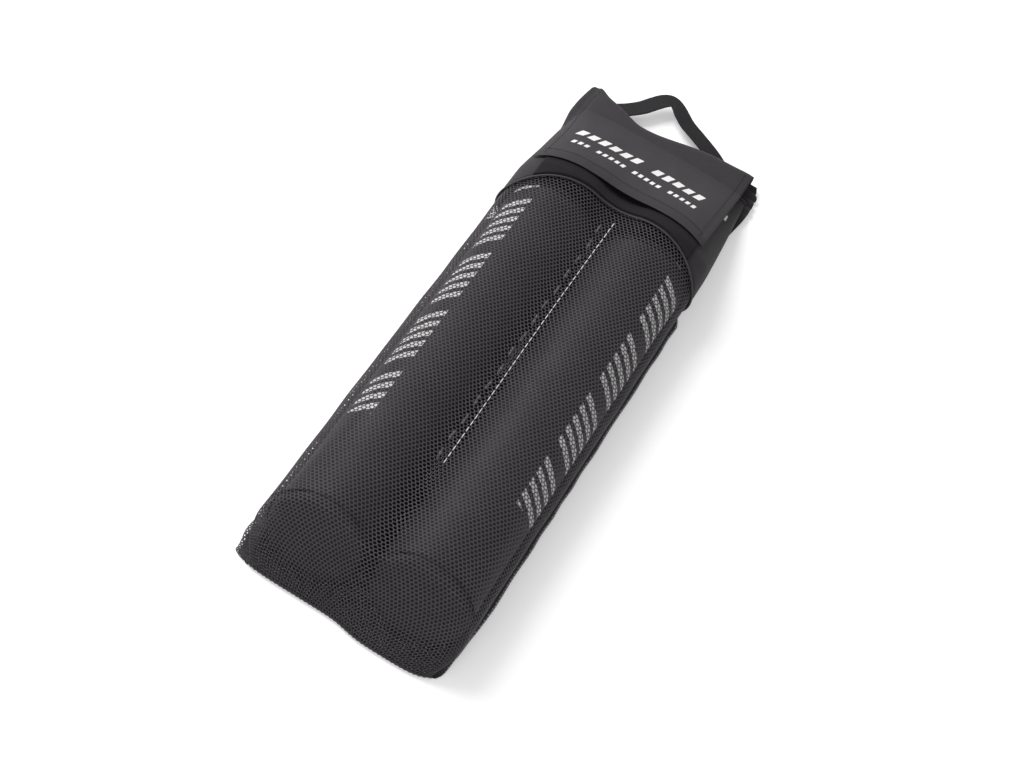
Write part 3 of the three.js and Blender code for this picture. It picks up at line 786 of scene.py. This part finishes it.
def header_height(x, y):
    """Height of the header's inner face at a place above the floor."""
    blend = header_blend(y)
    full = x / narrowed(blend)
    over = over_pads(full, HEADER_OFFSET)
    return over + (mouth_arch(full) - over) * blend


def fold_line(x):
    """The fold reaches further out towards both sides and dips between them, as a bell curve, and
    a smaller bell draws out each corner."""
    width = np.where(x < FOLD_DIP_AT, FOLD_DIP_LEFT, FOLD_DIP_RIGHT)
    corner = 15 * bell(x, -139, 18) + 5 * bell(x, 128, 25)
    return FOLD_Y - FOLD_SET + FOLD_REACH * (1 - bell(x, FOLD_DIP_AT, width)) + corner


def fold_height(x):
    """Height of the flap's outer face where it leaves the fold."""
    return header_height(x, np.full_like(x, FOLD_Y)) + FLAP_LIFT


def bridged(x, y):
    """Height under the flap: it is stiffer than the header, so it spans half the dip between the
    pads."""
    crest = float(over_pads(np.array(BRIDGE), HEADER_OFFSET))
    dip = np.where(np.abs(x) < BRIDGE, crest - over_pads(x, HEADER_OFFSET), 0)
    return header_height(x, y) + BRIDGE_SHARE * dip * (1 - header_blend(y))


def free_edge(across):
    """Line of the flap's free edge, bowed towards the pads' near ends at both sides."""
    return FOLD_Y - FLAP_LENGTH - FLAP_END_BOW * across**2


def back_and_flap(u, v):
    """One cloth: the header's back, a half turn over the mouth and the flap down the front. The
    flap sinks on to its tape at its free edge, its turned hem stands a thread's width higher, and
    two sines give it waves that die out at the fold and the edge."""
    across = 2 * u - 1
    bulge = CORNER_BULGE * ramp(-across, 1) ** 4 * bell(v, BULGE_AT, BULGE_SPREAD)
    x = across * FLAP_WIDTH / 2 + FLAP_SHIFT - bulge
    line = fold_line(x)
    y_back = HEADER_START + (line - HEADER_START) * v / BACK_PART
    blend = header_blend(y_back)
    seam = across * (header_point(np.ones_like(x), y_back)[..., 0] - 1.2)
    back = spots(seam + (x - seam) * blend**2, y_back, side_rise(across) * (1 - blend))
    radius = fold_height(x) / 2
    angle = math.pi * ramp(v - BACK_PART, FOLD_PART)
    turn = spots(x, line + radius * np.sin(angle), radius * (1 - np.cos(angle)))
    end = free_edge(across)
    down = np.maximum(v - TURN_END, 0) / (1 - TURN_END)
    y = line + (end - line) * down
    sink = FLAP_SINK * ramp(end + FLAP_SINK_AT - y, FLAP_SINK_OVER) ** 2
    hem = FLAP_HEM_STEP * ramp(end + FLAP_HEM - y, FLAP_HEM_ROUND)
    wave = FLAP_WAVE * np.sin(x / 17 + 3 * down) + FLAP_RIPPLE * np.sin(x / 8 - 7 * down)
    wave *= np.sin(math.pi * down) ** 2
    flap = spots(x, y, bridged(x, y) + FLAP_LIFT - sink + hem + wave)
    v = v[..., None]
    return np.where(v <= BACK_PART, back, np.where(v < TURN_END, turn, flap))


def flap_end_row(first, last):
    """Line of stitches that keeps one distance from the flap's free edge."""
    u = np.linspace(first, last, 240)
    across = 2 * u - 1
    line = fold_line(across * FLAP_WIDTH / 2 + FLAP_SHIFT)
    v = 1 - (1 - TURN_END) * (FLAP_HEM - FLAP_HEM_ROUND) / (line - free_edge(across))
    return raised(back_and_flap, u, v, -0.25)


def flap_side_row(at):
    """Line of stitches that keeps one distance from a side of the flap."""
    v = np.linspace(0.42, 0.985, 240)
    return raised(back_and_flap, np.full_like(v, at), v, -0.25)


def bow_above(x):
    """How far the hem hangs back at a place above the floor."""
    away = np.abs(x)
    a = half_axes(HEADER_OFFSET)[0]
    inner = math.acos((SAG_HALF - PAD_X) / a)
    turn = np.arccos(np.clip((away - PAD_X) / a, -1, 1))
    share = SAG_SHARE + (1 - SAG_SHARE) * (turn - inner) / (SEAM_ANGLE - inner)
    return hem_bow(np.sign(x) * np.where(away < SAG_HALF, SAG_SHARE * away / SAG_HALF, share))


def loop_start(x):
    """Near edge of the loop tape, which follows the hem."""
    return LOOP_START - bow_above(x)


def hook_start(x):
    """Near edge of the hook tape, which is straight."""
    return np.full_like(x, LOOP_END - HOOK_DEPTH)


def tape_surface(start, lift):
    """A tape on the header: its far edge straight, its near edge at a given line."""
    def surface(u, v):
        """Straight across, and from the near edge to the far one along."""
        x = (u - 0.5) * TAPE_LENGTH
        begin = start(x)
        y = begin + v * (LOOP_END - begin)
        return spots(x, y, header_height(x, y) + lift)
    return surface


# Pads


def pad_profile(inward):
    """Section of a pad before it swells: an ellipse round the bar's slit, which opens towards the
    other pad."""
    a, b = half_axes(-SWELL_ROOM)
    lip = math.asin((SLIT_HALF + LIP_ROUND) / b)
    turn = np.linspace(lip, 2 * math.pi - lip, 90)
    rim = np.stack([a * np.cos(turn), b * np.sin(turn)], axis=-1)
    deep = np.linspace(a * math.cos(lip) - LIP_DEPTH, SLIT_END, 12)
    lower = np.stack([deep, np.full(12, -SLIT_HALF)], axis=-1)
    upper = np.stack([deep[::-1], np.full(12, SLIT_HALF)], axis=-1)
    ring = np.concatenate([rim, lower, upper])
    ring[:, 0] *= inward
    return ring if inward > 0 else ring[::-1]


def seat(points):
    """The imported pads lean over, so that their near ends face up at a slant."""
    lean = (PAD_TOP - points[..., 2]) * math.tan(END_SLANT)
    return spots(points[..., 0], points[..., 1] - lean, points[..., 2])


def pad_blank(name, side):
    """The pad before it swells: its section drawn along it, and smaller at both ends."""
    ring = pad_profile(-side)
    rounding = np.array([2.0, 4.0, 8.0])
    straight = np.linspace(16, PAD_LENGTH - 16, 60)
    y = np.concatenate([rounding, straight, PAD_LENGTH - rounding[::-1]])
    size = 1 - 0.09 * np.exp(-np.minimum(y, PAD_LENGTH - y) / 3.0)
    section = ring[None] * size[:, None, None]
    points = seat(spots(side * PAD_X + section[..., 0], y[:, None], PAD_Z + section[..., 1]))
    return tidy(quad_mesh(name, points.reshape(-1, 3), grid_quads(len(y), len(ring), around=True)))


def remeshed(piece, voxel):
    """The same solid with an even net of faces."""
    change = piece.modifiers.new("even", "REMESH")
    change.mode = "VOXEL"
    change.voxel_size = voxel / 1000
    bpy.context.view_layer.update()
    seen = piece.evaluated_get(bpy.context.evaluated_depsgraph_get())
    mesh = bpy.data.meshes.new_from_object(seen)
    piece.modifiers.clear()
    piece.data = mesh


def swell(piece, most):
    """Cloth blown up from inside, with no point further than most millimetres from where it was."""
    rest = np.empty(len(piece.data.vertices) * 3, np.float32)
    piece.data.vertices.foreach_get("co", rest)
    change = piece.modifiers.new("cloth", "CLOTH")
    change.settings.use_pressure = True
    change.settings.uniform_pressure_force = 4
    change.settings.effector_weights.gravity = 0
    change.settings.tension_stiffness = 12
    change.settings.compression_stiffness = 12
    change.settings.bending_stiffness = 0.4
    for step in range(1, SWELL_STEPS + 1):
        bpy.context.scene.frame_set(step)
    seen = piece.evaluated_get(bpy.context.evaluated_depsgraph_get())
    moved = np.empty_like(rest)
    seen.to_mesh().vertices.foreach_get("co", moved)
    piece.modifiers.clear()
    bpy.context.scene.frame_set(1)
    way = (moved - rest).reshape(-1, 3)
    length = np.linalg.norm(way, axis=1, keepdims=True)
    way *= np.minimum(1, most / 1000 / np.maximum(length, 1e-9))
    piece.data.vertices.foreach_set("co", (rest.reshape(-1, 3) + way).ravel())
    piece.data.update()


def build_pad(label, side, low, high, slant):
    """A pad's sewn cover over its foam, swollen as cloth over foam is, with its row of bars."""
    piece = pad_blank(label, side)
    remeshed(piece, VOXEL)
    swell(piece, SWELL_ROOM)
    finer = piece.modifiers.new("finer", "SUBSURF")
    finer.levels = finer.render_levels = 1
    piece.data.polygons.foreach_set("use_smooth", np.full(len(piece.data.polygons), True))
    row = PrintRow(PRINT_START + shift_y, PRINT_END + shift_y, low, high, 19, 0.56, slant, 6)
    nodes = [f"{label}_{part}" for part in ("foam_core", "cover", "near_end", "far_end")]
    dress(piece, pad_cover(f"coated_polyester_{label}", row), "cover_cloth", *nodes)
    piece.name = f"{label}_sewn_cover"


def piping_path(side, y):
    """The pad's ellipse at one place along it, from one lip of the slit round to the other."""
    a, b = half_axes(-PIPING_SINK)
    turn = np.linspace(PIPING_LIP, 2 * math.pi - PIPING_LIP, 120)
    x = side * PAD_X - side * a * np.cos(turn)
    return seat(spots(x, y, PAD_Z + b * np.sin(turn)))


def binding_path():
    """A bound edge along the left pad's inner shoulder: seen through the net in short lengths, where a sine
    takes it up from the cover. The short lengths stand for the dark edge's glints, and their pale colour is
    painted highlight."""
    y = np.linspace(152, 606, 400)
    inward = BINDING_AT + 0.9 * np.sin(y / 13)
    z = PAD_Z + PAD_HEIGHT / 2 * np.sqrt(1 - ((PAD_X - inward) / (PAD_WIDTH / 2)) ** 2)
    return spots(-inward, y, z + BINDING_LIFT)


build_pad("left_pad", -1, -131, -101, -0.6)
build_pad("right_pad", 1, 109, 139, 0.52)

piping_satin = ribbed_tape("piping_binding_satin", "#1a191b", "#2e2b2e", 1.4, 0.42)
for label, side in (("left_pad", -1), ("right_pad", 1)):
    for place, y in (("near", PIPING_AT), ("far", PAD_LENGTH - PIPING_AT)):
        ring = swept(f"{label}_{place}_piping_cord", piping_path(side, y), circle(PIPING_RADIUS, 8))
        dress(ring, piping_satin, "piping", f"{label}_{place}_piping")

# The binding's pale blue-grey is a painted glint; the edge itself is dark and glossy
binding_painted_glint = spun_thread("coated_binding_edge_painted_glint", "#6a707d", "#a5abb8")
row = stitches("left_pad_shoulder_binding", binding_path(), *BINDING_STITCH)
dress(row, binding_painted_glint, "piping")

loop_fuzz = brushed_loop()
hook_pins = moulded_hook()
for label in ("left_pad", "right_pad"):
    for kind, material in (("loop", loop_fuzz), ("hook", hook_pins)):
        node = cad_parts[f"{label}_closure_{kind}_strip"]
        node.data.materials.clear()
        node.data.materials.append(material)

# Net, front in two parts and back. The back is the same net as the front, with its yarn painted darker as
# the shade under the bag; its wide strands close it over the floor, which lies in that shade

front_yarn = knitted_net("knitted_polyester_net", "#4b474b", "#5a555a")
# The back's darker yarn colours are painted shade
back_yarn_painted_shade = knitted_net("knitted_polyester_net_back_painted_shade", "#2d2a2d", "#3a373a")
for part, rows_at in (("near", (0, 0.5)), ("far", (0.5, 1))):
    net = honeycomb(f"bag_net_front_{part}", net_front, net_width, net_length, rows_at)
    dress(net, front_yarn, "honeycomb_mesh", "bag_mesh_front")
back_width = 2 * (seam_x + 8)
net = honeycomb("bag_net_back", net_back, back_width, net_length, thickness=BACK_THICKNESS,
                strand=BACK_STRAND)
dress(net, back_yarn_painted_shade, "honeycomb_mesh", "bag_mesh_back")


def rim_row(first, last):
    """Stitched line on the net over the rim of a pad's near end, a little above the bend."""
    u = np.linspace(first, last, 300)
    rim, straight = near_rim(2 * u - 1, net_section(u)[1])
    y = RIM_SEAM - rim
    y0 = np.where(y > 0, y, y * straight / rim * slope_length)
    return raised(net_front, u, (y0 + slope_length) / net_length, 2.0)


def valley_line():
    """A white seam thread on the right pad's inner shoulder, which drifts out along it."""
    y = np.linspace(140, 606, 600)
    x = VALLEY_X + (y - 140) / 240 + 0.7 * np.sin(y / 90)
    return spots(x, y, over_pads(x, NET_OFFSET) + VALLEY_LIFT)


dark_thread = spun_thread("bonded_polyester_thread", "#0d0c0e", "#1b191c")
pale_thread = spun_thread("bonded_thread_white", "#d4d4d6", "#f6f6f6")
for label, first, last in (("left", 0.13, 0.43), ("right", 0.57, 0.87)):
    row = stitches(f"bag_net_{label}_rim_stitches", rim_row(first, last), *RIM_STITCH)
    dress(row, dark_thread, "honeycomb_mesh")
row = stitches("bag_net_valley_thread", valley_line(), *VALLEY_STITCH)
dress(row, pale_thread, "honeycomb_mesh")

# Header, flap and tapes

# Each plain weave's third colour is the painted shade in its low places
header_cloth = plain_woven("plain_woven_header", "#353235", "#3c393b", "#2d2a2d")
band = cloth_shell("header_front_cloth", header_front, (110, 30), CLOTH, header_arc)
dress(band, header_cloth, "header_cloth", "header_front_band")

flap_prints = [
    PrintRow(start=15, end=230, low=87, high=106, pitch=17, share=0.66, slant=-0.3, group=7),
    PrintRow(start=29, end=236, low=55, high=65, pitch=9.5, share=0.6, slant=-0.2, group=6),
]
flap_cloth = plain_woven("plain_woven_flap", "#3e3b3e", "#464346", "#333033", flap_prints)
flap = cloth_shell("header_back_and_flap_cloth", back_and_flap, (90, 220), CLOTH, FLAP_WIDTH, from_end=True)
dress(flap, flap_cloth, "header_cloth", "header_back_and_flap")

hem_tape = ribbed_tape("woven_binding_tape", "#353235", "#524f52", 1.6, 0.5)
t = np.linspace(0.015, 0.985, 200)
x, z = cloth_section(HEADER_OFFSET + HEM_LIFT)(t)
hem_path = spots(x, HEM_Y - hem_bow(2 * t - 1), z)
hem = swept("header_hem_roll", hem_path, circle(HEM_ROLL, 10))
dress(hem, hem_tape, "seam_binding", "header_lower_hem")

t = np.linspace(0, 1, 120)
mouth_path = header_point(t, np.full_like(t, MOUTH_Y)) + MOUTH_ROLL_AT
mouth = swept("header_mouth_hem_roll", mouth_path, circle(MOUTH_ROLL, 12))
dress(mouth, header_cloth, "header_cloth", "header_mouth_hem")

loop = tape_surface(loop_start, LOOP_LIFT)
loop = cloth_shell("flap_loop_strip", loop, (90, 20), TAPE_THICKNESS, TAPE_LENGTH)
dress(loop, loop_fuzz, "loop_tape", "flap_loop_tape")
hook = tape_surface(hook_start, HOOK_LIFT)
hook = cloth_shell("flap_hook_strip", hook, (60, 10), TAPE_THICKNESS, TAPE_LENGTH)
dress(hook, hook_pins, "hook_tape", "flap_hook_tape")

for name, path in (("hem", flap_end_row(0.03, 0.97)), ("left_side", flap_side_row(0.045)),
                   ("right_side", flap_side_row(0.955))):
    row = stitches(f"flap_{name}_stitches", path, *FLAP_STITCH)
    dress(row, dark_thread, "header_cloth")

# Side seams and the bottom edge


def seam_path(side, last):
    """Line of a side seam, from the bottom corner to a place along the bag; it climbs a little
    later than the net, with the square of the share of height."""
    y0 = np.linspace(1 - slope_length, last, 260)
    height = np.full_like(y0, seam_z)
    y, share = near_slope(y0, np.full_like(y0, side), height)
    ahead = near_slope(y0 - SEAM_DELAY, np.full_like(y0, side), height)[1]
    front = header_point(np.ones_like(y0), y0)
    over = y0 > HEADER_START
    x = np.where(over, front[:, 0], flattened(seam_x, 1, share))
    z = np.where(over, front[:, 2] - 1.5, SEAM_LOW + (SEAM_HIGH - SEAM_LOW) * ahead**2)
    return spots(side * (x + 0.3), y, z - 1.3)


def corner_growth(v, ease):
    """A strip beside a seam rounds out of the bottom corner and narrows again at the header."""
    return 0.15 + 0.85 * np.sqrt(np.minimum(ramp(v, ease), ramp(1 - v, 0.03)))


def beside_seam(path, side, inner, outer, ease):
    """Strip along a seam, between two distances from it."""
    share = np.linspace(0, 1, len(path))

    def surface(u, v):
        """Nearly level across: it hangs with the square of the distance, and a sine waves its edge."""
        across = inner + (outer - inner) * (u if side > 0 else 1 - u)
        across = across * corner_growth(v, ease)
        centre = at_shares(v, share, path)
        wave = 0.04 * across * np.sin(60 * v + 2 * np.sin(13 * v))
        z = np.maximum(centre[..., 2] - 0.008 * across**2 + wave, 1.0)
        return spots(centre[..., 0] + side * (across + wave), centre[..., 1], z)

    return surface


selvedge_knit = ribbed_tape("knitted_selvedge", "#242225", "#454246", 2.4, 0.5)
for label, side, reach, lace_width, ease in (("left", -1, 20.5, 5.5, 0.024), ("right", 1, 16, 2.5, 0.24)):
    node = f"bag_{label}_side_seam"
    path = seam_path(side, MOUTH_Y)
    growth = corner_growth(np.linspace(0, 1, len(path)), ease)
    middle = path + np.outer(growth, [side * FLANGE_OUT, 0, 0]) - [side * FLANGE_IN, 0, 0]
    flange = swept(f"bag_{label}_seam_flange", middle, circle(FLANGE_HALF, 12, 0.2), 0.3 + 0.7 * growth)
    dress(flange, selvedge_knit, "seam_binding", node)
    path = seam_path(side, HEADER_START - hem_bow(side))
    edge = reach - lace_width + LACE_LAP
    strip = beside_seam(path, side, STRIP_START, edge, ease)
    strip = cloth_shell(f"bag_{label}_selvedge", strip, (8, 300), STRIP_THICKNESS, edge - STRIP_START)
    dress(strip, selvedge_knit, "seam_binding", node)
    lace = beside_seam(path, side, edge - LACE_LAP, reach, ease)
    lace = honeycomb(f"bag_{label}_selvedge_lace", lace, LACE_CUT, way_along(path)[-1], strand=LACE_STRAND)
    dress(lace, front_yarn, "honeycomb_mesh", node)

# The cut edge of the net shows as small scallops
x = np.linspace(-BOTTOM_WIDTH / 2, BOTTOM_WIDTH / 2, 400)
roll_path = spots(x, -bottom_reach(2 * x / BOTTOM_WIDTH), 3.0)
roll = swept("bag_bottom_roll", roll_path, circle(BOTTOM_ROLL, 8), 1 + 0.3 * np.sin(x * 1.03))
dress(roll, front_yarn, "honeycomb_mesh", "bag_bottom_fold")

# Tag, gusset and handle


def tag_surface(u, v):
    """A tag sewn flat on the header's right side, just outside the flap."""
    t = TAG_AT + u * TAG_SHARE
    start = HEADER_START - hem_bow(2 * t - 1)
    return raised(header_front, t, (TAG_Y + v * TAG_LENGTH - start) / (MOUTH_Y - start), 1.5)


def gusset_surface(u, v):
    """The header's right gusset, pressed out flat in pleats between the front and the back: its
    outer edge widens towards the mouth and is cut in where one pleat ends and the next begins."""
    y = GUSSET_START + GUSSET_LENGTH * v
    widening = 7 * (0.5 - 0.5 * np.cos(math.pi * ramp(y - GUSSET_START, 70)))
    notches = 6 * bell(y, 830, 3) + 10 * bell(y, 844, 3)
    end = 9 * ramp(y - 832, 22) ** 2
    edge = GUSSET_EDGE + widening - notches - end
    x = GUSSET_INNER + (edge - GUSSET_INNER) * u
    pleats = PLEAT_HEIGHT * u * np.sin(2 * math.pi * (y - 823) / PLEAT) * ramp(y - 790, 25)
    return spots(x, y, GUSSET_LEVEL - 3 * u + pleats)


# The webbing's way from one end under the fold to the other: across, past the fold, above the floor
handle_route = [(-103, 17, 14), (-92, 26, 14), (-80, 36, 15), (-67, 50, 16), (-56, 67, 17), (-46, 80, 18),
                (-36, 86, 18), (-24, 81, 18), (-12, 73, 17), (2, 64, 15), (26, 54, 13), (51, 43, 11),
                (68, 33, 10), (80, 22, 9)]
handle_path = spline([(x, FOLD_Y + y, z) for x, y, z in handle_route], 240)


def handle_surface(u, v):
    """Flat webbing that lies along the handle's way and turns with it, drawn in on the inner side
    of the sharp bend at its peak."""
    share = np.linspace(0, 1, len(handle_path))
    centre = at_shares(v, share, handle_path)
    along = np.gradient(handle_path, axis=0)
    along /= np.linalg.norm(along, axis=1)[:, None]
    ahead = at_shares(v, share, along)
    side = spots(ahead[..., 1], -ahead[..., 0], 0.12)
    pinch = 1 - 0.3 * bell(v, 0.45, 0.05) * (u > 0.5)
    return centre + side * ((u - 0.5) * WEBBING * pinch)[..., None]


tag = cloth_shell("side_label_cloth", tag_surface, (10, 12), TAG_THICKNESS, TAG_WIDTH)
dress(tag, satin_tag(), "tag_cloth", "side_label_tag")
gusset = cloth_shell("header_gusset_folds", gusset_surface, (24, 120), CLOTH, GUSSET_WIDTH)
dress(gusset, header_cloth, "header_cloth")
webbing = ribbed_tape("ribbed_polyester_webbing", "#161517", "#2c292c", 2.2, 0.6)
handle = cloth_shell("handle_ribbed_webbing", handle_surface, (24, 200), WEBBING_THICKNESS, WEBBING)
dress(handle, webbing, "webbing", "handle_webbing")

# Floor, light and camera


def bare_tree(owner):
    """The empty node tree of a material or a world."""
    owner.use_nodes = True
    owner.node_tree.nodes.clear()
    return owner.node_tree


def pale_floor():
    """White painted studio floor: matt, and with a glow of its own only where it is looked at, so
    that it keeps the shadow and adds no light to the set."""
    paint_coat = bpy.data.materials.new("pale_studio_floor")
    tree = bare_tree(paint_coat)
    ray = add(tree, "LightPath")
    seen = add(tree, "Math", [ray["Is Camera Ray"], ray["Is Glossy Ray"]], operation="MAXIMUM")[0]
    seen = add(tree, "Math", [seen, ray["Is Transmission Ray"]], operation="MAXIMUM")[0]
    strength = add(tree, "Math", [seen, FLOOR_GLOW], operation="MULTIPLY")[0]
    lit = add(tree, "BsdfDiffuse", {"Color": linear("#fafafa")})[0]
    glow = add(tree, "Emission", {"Color": (1, 1, 1, 1), "Strength": strength})[0]
    add(tree, "OutputMaterial", [add(tree, "AddShader", [lit, glow])[0]])
    mesh = bpy.data.meshes.new("floor")
    corners = [(FLOOR_HALF * x, FLOOR_HALF * y, 0) for x, y in ((-1, -1), (1, -1), (1, 1), (-1, 1))]
    mesh.from_pydata(corners, [], [(0, 1, 2, 3)])
    mesh.materials.append(paint_coat)
    placed("floor", mesh)


def pale_world():
    """White all round: full strength to the camera, less as light on the set."""
    world = bpy.data.worlds.new("studio")
    bpy.context.scene.world = world
    tree = bare_tree(world)
    ray = add(tree, "LightPath")
    seen = add(tree, "Math", [ray["Is Camera Ray"], ray["Is Transmission Ray"]], operation="MAXIMUM")[0]
    strength = add(tree, "Math", [seen, 1 - WORLD_LIGHT, WORLD_LIGHT], operation="MULTIPLY_ADD")[0]
    add(tree, "OutputWorld", [add(tree, "Background", [(1, 1, 1, 1), strength])[0]])


def softbox(name, place, size, power):
    """A square soft light that looks at the middle of the set."""
    lamp = bpy.data.lights.new(name, "AREA")
    lamp.shape = "SQUARE"
    lamp.size = size
    lamp.energy = power
    made = placed(name, lamp)
    made.location = place
    made.rotation_euler = (-Vector(place)).to_track_quat("-Z", "Y").to_euler()


def photo_camera():
    """A camera that looks down at its aim by the rise, from the turn about the vertical, and is
    rolled about its own axis."""
    level = math.cos(CAMERA_RISE)
    back = Vector((math.sin(CAMERA_TURN) * level, -math.cos(CAMERA_TURN) * level, math.sin(CAMERA_RISE)))
    right = (-back).cross(Vector((0, 0, 1))).normalized()
    up = right.cross(-back)
    c, s = math.cos(CAMERA_ROLL), math.sin(CAMERA_ROLL)
    turned = Matrix((c * right + s * up, -s * right + c * up, back)).transposed()
    lens = bpy.data.cameras.new("photo_camera")
    lens.sensor_width = SENSOR
    lens.lens = FOCAL_PIXELS / FRAME_PIXELS * SENSOR
    camera = placed("photo_camera", lens)
    camera.location = Vector(to_frame(CAMERA_AIM)) + back * CAMERA_DISTANCE
    camera.rotation_euler = turned.to_euler()
    bpy.context.scene.camera = camera


pale_floor()
pale_world()
softbox("key_softbox", (-2.2, 1.05, 2.45), 1.8, 96)
softbox("fill_softbox", (0.2, -2.4, 1.7), 2.0, 16)
photo_camera()
bpy.context.scene.view_settings.view_transform = "Standard"
